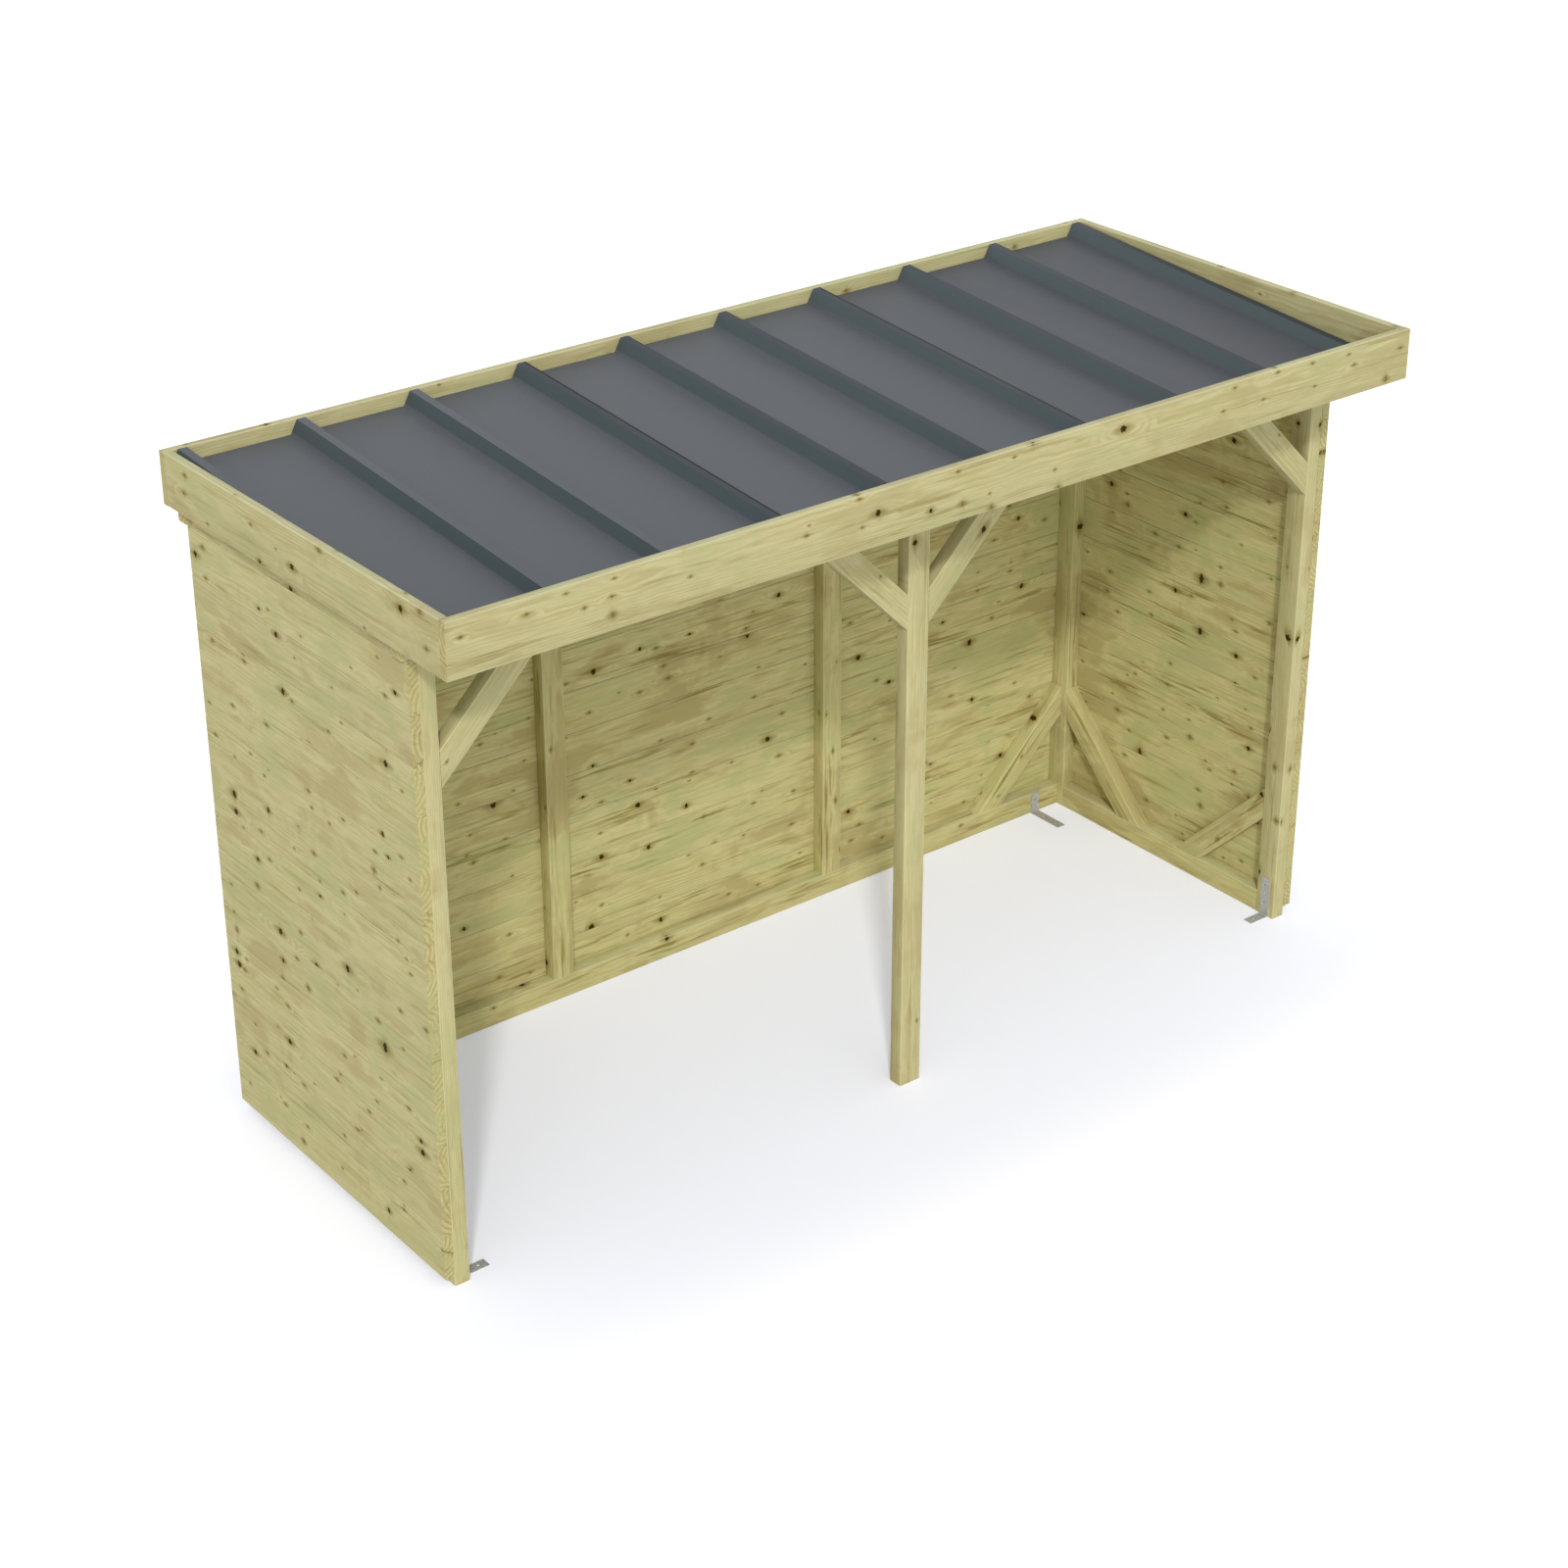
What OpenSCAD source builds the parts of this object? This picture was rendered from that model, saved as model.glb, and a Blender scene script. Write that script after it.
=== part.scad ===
// Open-fronted log store: a low timber shelter with three boarded walls,
// a middle post and knee braces at the open front, and a shallow
// single-pitch roof of ribbed steel sheets inside a level fascia frame.
// Millimetres. +X runs along the long side, the open front faces -Y and
// +Z is up. The origin is on the ground, under the middle of the roof.

/* [Overall] */

// Width over the side fascias
roof_w = 3100; // [2600:10:3800]
// Depth of the boarded walls, from the front posts to the back
wall_d = 1033; // [900:1:1400]
// How far each side fascia stands out past the wall below it
side_overhang = 37; // [10:1:90]
// Height of the walls and posts, up to the underside of the beams
wall_h = 1737; // [1400:1:2100]
// How far the roof reaches out in front of the posts
front_overhang = 232; // [120:1:350]

/* [Timber frame] */

// Thin side of every frame timber
timber_t = 45; // [38:1:60]
// Wide side of every frame timber
timber_w = 70; // [60:1:95]
// Distance of each back stud from the middle of the wall
stud_offset = 497; // [350:1:650]
// Short leg of a 45 degree brace, from the corner to its inner edge
brace_leg = 250; // [180:1:320]
// Height of the front beam at its front face
front_beam_h = 70; // [60:1:95]
// Height of the rear beam at its front face
rear_beam_h = 145; // [120:1:170]

/* [Wall boards] */

// Thickness of the boarding
boards_t = 27; // [18:1:32]
// Gap between the ground and the bottom edge of the boarding
boards_lift = 30; // [15:1:60]
// How far the side boarding rises between the two beams
boards_rise = 50; // [45:1:60]

/* [Fascia] */

// Height of the fascia boards
fascia_h = 144; // [140:1:170]
// Thickness of the fascia boards
fascia_t = 24; // [18:1:30]
// Height of the fascia's top edge above the walls
fascia_rise = 187; // [180:1:200]

/* [Roof sheets] */

// Height of a rib above the flat of the sheet
rib_h = 39; // [25:1:45]
// Width of a rib's flat crest
rib_crest_w = 24; // [18:1:36]
// Width of a rib at its base
rib_base_w = 62; // [58:1:90]
// How far the outer sheets reach past the middle of their edge rib
edge_reach = 24; // [20:1:28]
// Sheet thickness
sheet_t = 1; // [0.8:0.1:1.5]
// Clear distance between the sheets and the fascia boards
sheet_margin = 2; // [1:0.5:6]

/* [Brackets] */

// Width of the angle brackets
bracket_w = 30; // [20:1:40]
// Thickness of the angle brackets
bracket_t = 3; // [2:0.5:5]
// Long leg of the angle brackets
bracket_long = 130; // [100:1:160]
// Short leg of the angle brackets
bracket_short = 70; // [60:1:90]
// Inner radius of the bend
bracket_bend = 4; // [2:0.5:8]
// Diameter of the fixing holes
bracket_hole_d = 8; // [5:0.5:11]
// Distance of a leg's last hole from its end
bracket_hole_in = 25; // [15:1:30]
// Distance of the rear brackets from the side frames
rear_bracket_in = 100; // [60:1:200]

/* [Fit] */

// Clearance under and between the roof sheets
seat_gap = 0.3; // [0.2:0.1:0.6]

/* [Hidden] */

$fn = 48;

pine = [0.72, 0.70, 0.47];
pine_boards = [0.70, 0.67, 0.45];
steel_grey = [0.30, 0.32, 0.34];
zinc = [0.62, 0.63, 0.64];

// The rear beam stands behind the back frame and carries the rear fascia
roof_d = front_overhang + wall_d - boards_t + timber_t + fascia_t;
front_y = front_overhang - roof_d / 2;
back_y = front_y + wall_d;

// Planes of the wall frames
wall_w = roof_w - 2 * side_overhang;
side_in = wall_w / 2 - boards_t - timber_t;
side_out = wall_w / 2 - boards_t;
frame_back = back_y - boards_t;
frame_front = frame_back - timber_t;
rear_post_y = frame_back - timber_w;
brace_outer = brace_leg + timber_w * sqrt(2);

// Inner faces of the fascia frame
inner_x = roof_w / 2 - fascia_t;
inner_y = roof_d / 2 - fascia_t;
fascia_z = wall_h + fascia_rise - fascia_h;

// The roof's fall, set by the difference between the two beams
rear_beam_y = frame_back;
roof_slope = (rear_beam_h - front_beam_h) / (rear_beam_y - front_y);
roof_angle = atan(roof_slope);
sheet_front = -inner_y + sheet_margin + rib_h * sin(roof_angle);
sheet_len = (inner_y - sheet_margin - sheet_front) / cos(roof_angle);

// Rib geometry
half_crest = rib_crest_w / 2;
half_base = rib_base_w / 2;
flank_angle = atan(rib_h / (half_base - half_crest));
skin_shift = sheet_t * tan(flank_angle / 2);
nest = sheet_t + seat_gap;
nest_shift = nest * tan(flank_angle / 2);
nest_base = nest / sin(flank_angle);
outer_edge = inner_x - sheet_margin;
first_rib_x = edge_reach - outer_edge;
rib_spaces = 9;
rib_pitch = -2 * first_rib_x / rib_spaces;
edge_rise = rib_h * (half_base - edge_reach) / (half_base - half_crest);
edge_drop = sheet_t / cos(flank_angle);
lap_foot = 2;
lap_lip = 6;
lip_reach = lap_lip / tan(flank_angle);

// Bracket holes, measured from the corner
bracket_hole_1 = bracket_short - bracket_hole_in;
bracket_hole_2 = bracket_long - bracket_hole_in;

// Height of a beam's sloped top at a given y
function roof_z(y) = wall_h + front_beam_h + roof_slope * (y - front_y);

// A timber given by its low corner and its size
module timber(low, size) {
  translate(low)
    cube(size);
}

// A 45 degree brace in the XZ plane, its corner at the origin,
// reaching +X and +Z, its face at y = 0
module brace_xz() {
  translate([0, timber_t, 0])
    rotate([90, 0, 0])
      linear_extrude(timber_t)
        polygon([
          [brace_leg, 0],
          [brace_outer, 0],
          [0, brace_outer],
          [0, brace_leg]
        ]);
}

// The same brace in the YZ plane, reaching +Y and +Z from x = 0
module brace_yz() {
  mirror([1, 0, 0])
    rotate([0, 0, 90])
      brace_xz();
}

// Boarding of a side wall from its low face at x: notched under the beams
// at both ends and rising between them to lap behind the side fascia
module side_boards(x) {
  front_notch = front_y + timber_t;
  boards_top = wall_h + boards_rise;
  translate([x, 0, 0])
    rotate([90, 0, 90])
      linear_extrude(boards_t)
        polygon([
          [front_y, boards_lift],
          [back_y, boards_lift],
          [back_y, wall_h],
          [rear_beam_y, wall_h],
          [rear_beam_y, boards_top],
          [front_notch, boards_top],
          [front_notch, wall_h],
          [front_y, wall_h]
        ]);
}

// A beam between the side fascias, its top cut to the roof's fall
module beam(y) {
  translate([-inner_x, 0, 0])
    rotate([90, 0, 90])
      linear_extrude(2 * inner_x)
        polygon([
          [y, wall_h],
          [y + timber_t, wall_h],
          [y + timber_t, roof_z(y + timber_t)],
          [y, roof_z(y)]
        ]);
}

// Upper outline of one rib, left foot to right foot
function rib_top(x) = [
  [x - half_base, 0],
  [x - half_crest, rib_h],
  [x + half_crest, rib_h],
  [x + half_base, 0]
];

// Lower outline of one rib, right foot to left foot
function rib_under(x) = [
  [x + half_base - skin_shift, -sheet_t],
  [x + half_crest - skin_shift, rib_h - sheet_t],
  [x - half_crest + skin_shift, rib_h - sheet_t],
  [x - half_base + skin_shift, -sheet_t]
];

// The rib that slips under the next sheet's rib, upper outline
function lap_top(x) = [
  [x - half_base + nest_base + lap_foot / tan(flank_angle), lap_foot],
  [x - half_crest + nest_shift, rib_h - nest],
  [x + half_crest - nest_shift, rib_h - nest],
  [x + half_base - nest_base, 0]
];

// Its lower outline, right foot to left foot
function lap_under(x) = [
  [x + half_base - nest_base - skin_shift, -sheet_t],
  [x + half_crest - nest_shift - skin_shift, rib_h - nest - sheet_t],
  [x - half_crest + nest_shift + skin_shift, rib_h - nest - sheet_t],
  [x - half_base + nest_base + lap_foot / tan(flank_angle)
    + sheet_t / sin(flank_angle), lap_foot]
];

// The cut rib against the left fascia, upper and lower outlines
function edge_top(x) = [
  [-outer_edge, edge_rise],
  [x - half_crest, rib_h],
  [x + half_crest, rib_h],
  [x + half_base, 0]
];
function edge_under(x) = [
  [x + half_base - skin_shift, -sheet_t],
  [x + half_crest - skin_shift, rib_h - sheet_t],
  [x - half_crest + skin_shift, rib_h - sheet_t],
  [-outer_edge, edge_rise - edge_drop]
];

// The same rib mirrored for the right fascia
function far_edge_top(x) = [
  for (i = [3:-1:0]) [-edge_top(-x)[i][0], edge_top(-x)[i][1]]
];
function far_edge_under(x) = [
  for (i = [3:-1:0]) [-edge_under(-x)[i][0], edge_under(-x)[i][1]]
];

// The last rib of a sheet, ending in a lip just past its crest
function cover_top(x) = [
  [x - half_base, 0],
  [x - half_crest, rib_h],
  [x + half_crest, rib_h],
  [x + half_crest + lip_reach, rib_h - lap_lip]
];
function cover_under(x) = [
  [x + half_crest + lip_reach - sheet_t / sin(flank_angle),
    rib_h - lap_lip],
  [x + half_crest - skin_shift, rib_h - sheet_t],
  [x - half_crest + skin_shift, rib_h - sheet_t],
  [x - half_base + skin_shift, -sheet_t]
];

// Position of rib i, counted from the left
function rib_x(i) = first_rib_x + i * rib_pitch;

// Lays a profile drawn in x and height onto the sloping roof
module on_roof() {
  translate([0, sheet_front, roof_z(sheet_front)])
    rotate([roof_angle, 0, 0])
      translate([0, sheet_len, sheet_t + seat_gap])
        rotate([90, 0, 0])
          linear_extrude(sheet_len)
            children();
}

// An angle bracket: its corner at the origin, one leg up +Z on x = 0
// and the other along +X on the ground, centred on y = 0
module angle_bracket(up, out, up_holes, out_holes) {
  r = bracket_bend + bracket_t;
  difference() {
    translate([0, bracket_w / 2, 0])
      rotate([90, 0, 0])
        linear_extrude(bracket_w)
          union() {
            translate([0, r])
              square([bracket_t, up - r]);
            translate([r, 0])
              square([out - r, bracket_t]);
            intersection() {
              square([r, r]);
              translate([r, r])
                difference() {
                  circle(r);
                  circle(bracket_bend);
                }
            }
          }
    for (z = up_holes)
      translate([-1, 0, z])
        rotate([0, 90, 0])
          cylinder(h = bracket_t + 2, d = bracket_hole_d);
    for (x = out_holes)
      translate([x, 0, -1])
        cylinder(h = bracket_t + 2, d = bracket_hole_d);
  }
}

// Boarding of the left wall
module left_wall_boards() {
  color(pine_boards)
    side_boards(-wall_w / 2);
}

// Boarding of the right wall
module right_wall_boards() {
  color(pine_boards)
    side_boards(side_out);
}

// Boarding of the back wall, between the two side walls
module back_wall_boards() {
  color(pine_boards)
    timber([-side_out, frame_back, boards_lift],
           [2 * side_out, boards_t, wall_h - boards_lift]);
}

// Left wall frame
module left_front_post() {
  color(pine)
    timber([-side_out, front_y, 0], [timber_t, timber_w, wall_h]);
}

module left_rear_post() {
  color(pine)
    timber([-side_out, rear_post_y, 0], [timber_t, timber_w, wall_h]);
}

module left_bottom_rail() {
  color(pine)
    timber([-side_out, front_y + timber_w, 0],
           [timber_t, rear_post_y - front_y - timber_w, timber_w]);
}

module left_top_rail() {
  color(pine)
    timber([-side_out, front_y + timber_w, wall_h - timber_w],
           [timber_t, rear_post_y - front_y - timber_w, timber_w]);
}

module left_front_brace() {
  color(pine)
    translate([-side_out, front_y + timber_w, timber_w])
      brace_yz();
}

module left_rear_brace() {
  color(pine)
    translate([-side_out, rear_post_y, timber_w])
      mirror([0, 1, 0])
        brace_yz();
}

// Right wall frame
module right_front_post() {
  color(pine)
    timber([side_in, front_y, 0], [timber_t, timber_w, wall_h]);
}

module right_rear_post() {
  color(pine)
    timber([side_in, rear_post_y, 0], [timber_t, timber_w, wall_h]);
}

module right_bottom_rail() {
  color(pine)
    timber([side_in, front_y + timber_w, 0],
           [timber_t, rear_post_y - front_y - timber_w, timber_w]);
}

module right_top_rail() {
  color(pine)
    timber([side_in, front_y + timber_w, wall_h - timber_w],
           [timber_t, rear_post_y - front_y - timber_w, timber_w]);
}

module right_front_brace() {
  color(pine)
    translate([side_in, front_y + timber_w, timber_w])
      brace_yz();
}

module right_rear_brace() {
  color(pine)
    translate([side_in, rear_post_y, timber_w])
      mirror([0, 1, 0])
        brace_yz();
}

// Back wall frame, between the side frames
module back_bottom_rail() {
  color(pine)
    timber([-side_in, frame_front, 0],
           [2 * side_in, timber_t, timber_w]);
}

module back_top_rail() {
  color(pine)
    timber([-side_in, frame_front, wall_h - timber_w],
           [2 * side_in, timber_t, timber_w]);
}

module back_left_stud() {
  color(pine)
    timber([-stud_offset - timber_w / 2, frame_front, timber_w],
           [timber_w, timber_t, wall_h - 2 * timber_w]);
}

module back_right_stud() {
  color(pine)
    timber([stud_offset - timber_w / 2, frame_front, timber_w],
           [timber_w, timber_t, wall_h - 2 * timber_w]);
}

module back_left_brace() {
  color(pine)
    translate([-side_in, frame_front, timber_w])
      brace_xz();
}

module back_right_brace() {
  color(pine)
    translate([side_in, frame_front, timber_w])
      mirror([1, 0, 0])
        brace_xz();
}

// Middle post of the open front
module middle_post() {
  color(pine)
    timber([-timber_w / 2, front_y, 0], [timber_w, timber_t, wall_h]);
}

// Knee braces, from the posts up to the front beam
module left_knee_brace() {
  color(pine)
    translate([-side_in, front_y, wall_h])
      mirror([0, 0, 1])
        brace_xz();
}

module middle_left_knee_brace() {
  color(pine)
    translate([-timber_w / 2, front_y, wall_h])
      mirror([0, 0, 1])
        mirror([1, 0, 0])
          brace_xz();
}

module middle_right_knee_brace() {
  color(pine)
    translate([timber_w / 2, front_y, wall_h])
      mirror([0, 0, 1])
        brace_xz();
}

module right_knee_brace() {
  color(pine)
    translate([side_in, front_y, wall_h])
      mirror([0, 0, 1])
        mirror([1, 0, 0])
          brace_xz();
}

// Beams under the roof sheets
module front_beam() {
  color(pine)
    beam(front_y);
}

module rear_beam() {
  color(pine)
    beam(rear_beam_y);
}

// Roof sheets, each lapping over the next one's first rib
module left_roof_sheet() {
  color(steel_grey)
    on_roof()
      polygon(concat(
        edge_top(rib_x(0)),
        rib_top(rib_x(1)),
        rib_top(rib_x(2)),
        cover_top(rib_x(3)),
        cover_under(rib_x(3)),
        rib_under(rib_x(2)),
        rib_under(rib_x(1)),
        edge_under(rib_x(0))
      ));
}

module middle_roof_sheet() {
  color(steel_grey)
    on_roof()
      polygon(concat(
        lap_top(rib_x(3)),
        rib_top(rib_x(4)),
        rib_top(rib_x(5)),
        cover_top(rib_x(6)),
        cover_under(rib_x(6)),
        rib_under(rib_x(5)),
        rib_under(rib_x(4)),
        lap_under(rib_x(3))
      ));
}

module right_roof_sheet() {
  color(steel_grey)
    on_roof()
      polygon(concat(
        lap_top(rib_x(6)),
        rib_top(rib_x(7)),
        rib_top(rib_x(8)),
        far_edge_top(rib_x(9)),
        far_edge_under(rib_x(9)),
        rib_under(rib_x(8)),
        rib_under(rib_x(7)),
        lap_under(rib_x(6))
      ));
}

// Level fascia frame; the front and rear boards cover the side ends
module front_fascia() {
  color(pine)
    timber([-roof_w / 2, -roof_d / 2, fascia_z],
           [roof_w, fascia_t, fascia_h]);
}

module rear_fascia() {
  color(pine)
    timber([-roof_w / 2, inner_y, fascia_z],
           [roof_w, fascia_t, fascia_h]);
}

module left_fascia() {
  color(pine)
    timber([-roof_w / 2, -inner_y, fascia_z],
           [fascia_t, 2 * inner_y, fascia_h]);
}

module right_fascia() {
  color(pine)
    timber([inner_x, -inner_y, fascia_z],
           [fascia_t, 2 * inner_y, fascia_h]);
}

// Ground brackets: long leg up the front posts, short leg on the ground
module front_left_bracket() {
  color(zinc)
    translate([-side_in, front_y + timber_w / 2, 0])
      angle_bracket(bracket_long, bracket_short,
                    [bracket_hole_1, bracket_hole_2], [bracket_hole_1]);
}

module front_right_bracket() {
  color(zinc)
    translate([side_in, front_y + timber_w / 2, 0])
      mirror([1, 0, 0])
        angle_bracket(bracket_long, bracket_short,
                      [bracket_hole_1, bracket_hole_2], [bracket_hole_1]);
}

// Ground brackets: short leg on the back rail, long leg on the ground
module rear_left_bracket() {
  color(zinc)
    translate([-side_in + rear_bracket_in, frame_front, 0])
      rotate([0, 0, -90])
        angle_bracket(bracket_short, bracket_long,
                      [bracket_hole_1], [bracket_hole_1, bracket_hole_2]);
}

module rear_right_bracket() {
  color(zinc)
    translate([side_in - rear_bracket_in, frame_front, 0])
      rotate([0, 0, -90])
        angle_bracket(bracket_short, bracket_long,
                      [bracket_hole_1], [bracket_hole_1, bracket_hole_2]);
}

left_wall_boards();
right_wall_boards();
back_wall_boards();
left_front_post();
left_rear_post();
left_bottom_rail();
left_top_rail();
left_front_brace();
left_rear_brace();
right_front_post();
right_rear_post();
right_bottom_rail();
right_top_rail();
right_front_brace();
right_rear_brace();
back_bottom_rail();
back_top_rail();
back_left_stud();
back_right_stud();
back_left_brace();
back_right_brace();
middle_post();
left_knee_brace();
middle_left_knee_brace();
middle_right_knee_brace();
right_knee_brace();
front_beam();
rear_beam();
left_roof_sheet();
middle_roof_sheet();
right_roof_sheet();
front_fascia();
rear_fascia();
left_fascia();
right_fascia();
front_left_bracket();
front_right_bracket();
rear_left_bracket();
rear_right_bracket();
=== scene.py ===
"""Open-fronted log store: planed pine frame, tongue-and-groove boarding, ribbed steel roof."""

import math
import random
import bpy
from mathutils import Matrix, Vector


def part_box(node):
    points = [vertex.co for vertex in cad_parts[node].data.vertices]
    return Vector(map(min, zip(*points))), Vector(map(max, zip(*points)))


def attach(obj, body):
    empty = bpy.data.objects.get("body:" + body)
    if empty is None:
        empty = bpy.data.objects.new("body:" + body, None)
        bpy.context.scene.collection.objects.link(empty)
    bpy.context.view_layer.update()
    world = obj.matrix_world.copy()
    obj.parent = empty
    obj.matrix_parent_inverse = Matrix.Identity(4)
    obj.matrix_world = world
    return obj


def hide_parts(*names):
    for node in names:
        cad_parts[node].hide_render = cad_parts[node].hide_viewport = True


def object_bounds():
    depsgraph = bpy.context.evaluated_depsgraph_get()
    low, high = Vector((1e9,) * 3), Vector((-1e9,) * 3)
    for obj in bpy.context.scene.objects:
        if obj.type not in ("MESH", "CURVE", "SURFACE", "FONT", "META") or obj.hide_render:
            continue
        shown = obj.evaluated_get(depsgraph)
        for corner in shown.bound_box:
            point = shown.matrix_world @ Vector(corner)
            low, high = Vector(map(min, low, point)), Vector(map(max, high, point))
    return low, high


bl_info = {
    "name": "Log store",
    "version": (1, 0, 0),
    "blender": (4, 5, 0),
    "location": "3D View > Sidebar > Log store",
    "description": "Frames, boards, roofs and lights an open-fronted log store",
    "category": "Object",
}

from collections import namedtuple

import bmesh
import bpy
import numpy as np
from bpy.props import FloatProperty, FloatVectorProperty, IntProperty, PointerProperty
from mathutils import Matrix, Vector

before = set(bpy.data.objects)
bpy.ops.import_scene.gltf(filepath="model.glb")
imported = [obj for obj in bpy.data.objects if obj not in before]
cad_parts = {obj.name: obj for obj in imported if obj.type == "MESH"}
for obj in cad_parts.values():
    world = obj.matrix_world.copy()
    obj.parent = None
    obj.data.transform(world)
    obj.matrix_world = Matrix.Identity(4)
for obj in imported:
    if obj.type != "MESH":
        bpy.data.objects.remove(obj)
CAD_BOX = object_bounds()

X = Vector((1.0, 0.0, 0.0))
Y = Vector((0.0, 1.0, 0.0))
Z = Vector((0.0, 0.0, 1.0))

# How near two places count as the same, and how square a face or an edge has to be
NEAR = 1e-5
SQUARE = 0.99

# The wide side of a framing timber, and how far the room reaches, a little into the boarding
POST_LOW, POST_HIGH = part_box("middle_post")
SECTION_WIDE = POST_HIGH.x - POST_LOW.x
INTO_BOARDS = 0.002
ROOM_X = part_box("right_wall_boards")[0].x + INTO_BOARDS
ROOM_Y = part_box("back_wall_boards")[0].y + INTO_BOARDS

# The way the roof faces, square to its fall from the rear beam's top to the front beam's
FRONT_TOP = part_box("front_beam")[1]
REAR_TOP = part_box("rear_beam")[1]
ROOF_FALL = (REAR_TOP.z - FRONT_TOP.z) / (REAR_TOP.y - FRONT_TOP.y)
ROOF_UP = Vector((0.0, -ROOF_FALL, 1.0)).normalized()


# Settings


class LogStoreTimber(bpy.types.PropertyGroup):
    """Sizes of the planed timbers and boards."""

    arris: FloatProperty(
        name="Eased arris",
        description="Radius taken off the long edges of every timber",
        default=0.0025,
        min=0.0005,
        max=0.008,
        unit="LENGTH",
    )
    board_cover: FloatProperty(
        name="Board cover",
        description="Height that one board covers, from joint to joint",
        default=0.1304,
        min=0.08,
        max=0.2,
        unit="LENGTH",
    )
    joint_gap: FloatProperty(
        name="Joint gap",
        description="Open gap between the shoulders of two boards",
        default=0.0010,
        min=0.0,
        max=0.004,
        unit="LENGTH",
    )
    joint_chamfer: FloatProperty(
        name="Joint chamfer",
        description="Chamfer along the long edges of a board",
        default=0.0015,
        min=0.0002,
        max=0.006,
        unit="LENGTH",
    )
    tongue: FloatProperty(
        name="Tongue",
        description="Height and thickness of the tongue on a board's top edge",
        default=0.007,
        min=0.003,
        max=0.012,
        unit="LENGTH",
    )
    seed: IntProperty(
        name="Timber batch",
        description="Another number gives other grain and knots",
        default=7,
        min=0,
    )


class LogStorePine(bpy.types.PropertyGroup):
    """Colours of the treated pine."""

    early_wood: FloatVectorProperty(
        name="Early wood",
        description="Pale wood between the year rings",
        subtype="COLOR",
        size=3,
        min=0.0,
        max=1.0,
        default=(0.590, 0.546, 0.295),
    )
    late_wood: FloatVectorProperty(
        name="Late wood",
        description="Darker lines of the year rings",
        subtype="COLOR",
        size=3,
        min=0.0,
        max=1.0,
        default=(0.42, 0.35, 0.145),
    )
    green_stain: FloatVectorProperty(
        name="Green stain",
        description="Patches where the treatment has soaked in",
        subtype="COLOR",
        size=3,
        min=0.0,
        max=1.0,
        default=(0.480, 0.486, 0.240),
    )
    warm_stain: FloatVectorProperty(
        name="Warm stain",
        description="Brown patches of resinous wood",
        subtype="COLOR",
        size=3,
        min=0.0,
        max=1.0,
        default=(0.450, 0.386, 0.190),
    )
    knot: FloatVectorProperty(
        name="Knot",
        description="Core of a dead knot",
        subtype="COLOR",
        size=3,
        min=0.0,
        max=1.0,
        default=(0.045, 0.026, 0.003),
    )
    frame_knots: FloatProperty(
        name="Knots in the frame",
        description="Share of branch places that end in a dead knot, in the framing timbers",
        default=0.12,
        min=0.0,
        max=1.0,
        subtype="FACTOR",
    )
    board_knots: FloatProperty(
        name="Knots in the boards",
        description="Share of branch places that end in a dead knot, in fascia and wall boards",
        default=0.20,
        min=0.0,
        max=1.0,
        subtype="FACTOR",
    )
    frame_stain: FloatProperty(
        name="Stain of the frame",
        description="Strength of the green and brown stains in planed timber",
        default=0.7,
        min=0.0,
        max=1.0,
        subtype="FACTOR",
    )
    board_stain: FloatProperty(
        name="Stain of the boards",
        description="Strength of the green and brown stains in the wall boards",
        default=0.9,
        min=0.0,
        max=1.0,
        subtype="FACTOR",
    )
    ring_width: FloatProperty(
        name="Ring width",
        description="Width of one year ring",
        default=0.0060,
        min=0.001,
        max=0.015,
        unit="LENGTH",
    )


class LogStoreMetal(bpy.types.PropertyGroup):
    """Finishes of the roof sheets and the ground brackets."""

    roof_coat: FloatVectorProperty(
        name="Roof coat",
        description="Baked coat on top of the roof sheets",
        subtype="COLOR",
        size=3,
        min=0.0,
        max=1.0,
        default=(0.069, 0.091, 0.098),
    )
    roof_dust: FloatVectorProperty(
        name="Roof dust",
        description="Coat of the flats, paler with dust",
        subtype="COLOR",
        size=3,
        min=0.0,
        max=1.0,
        default=(0.106, 0.115, 0.129),
    )
    roof_backing: FloatVectorProperty(
        name="Roof backing",
        description="Pale grey backing coat under the roof sheets",
        subtype="COLOR",
        size=3,
        min=0.0,
        max=1.0,
        default=(0.50, 0.50, 0.49),
    )
    zinc: FloatVectorProperty(
        name="Zinc",
        description="Hot-dip zinc of the brackets",
        subtype="COLOR",
        size=3,
        min=0.0,
        max=1.0,
        default=(0.50, 0.51, 0.53),
    )


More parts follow.
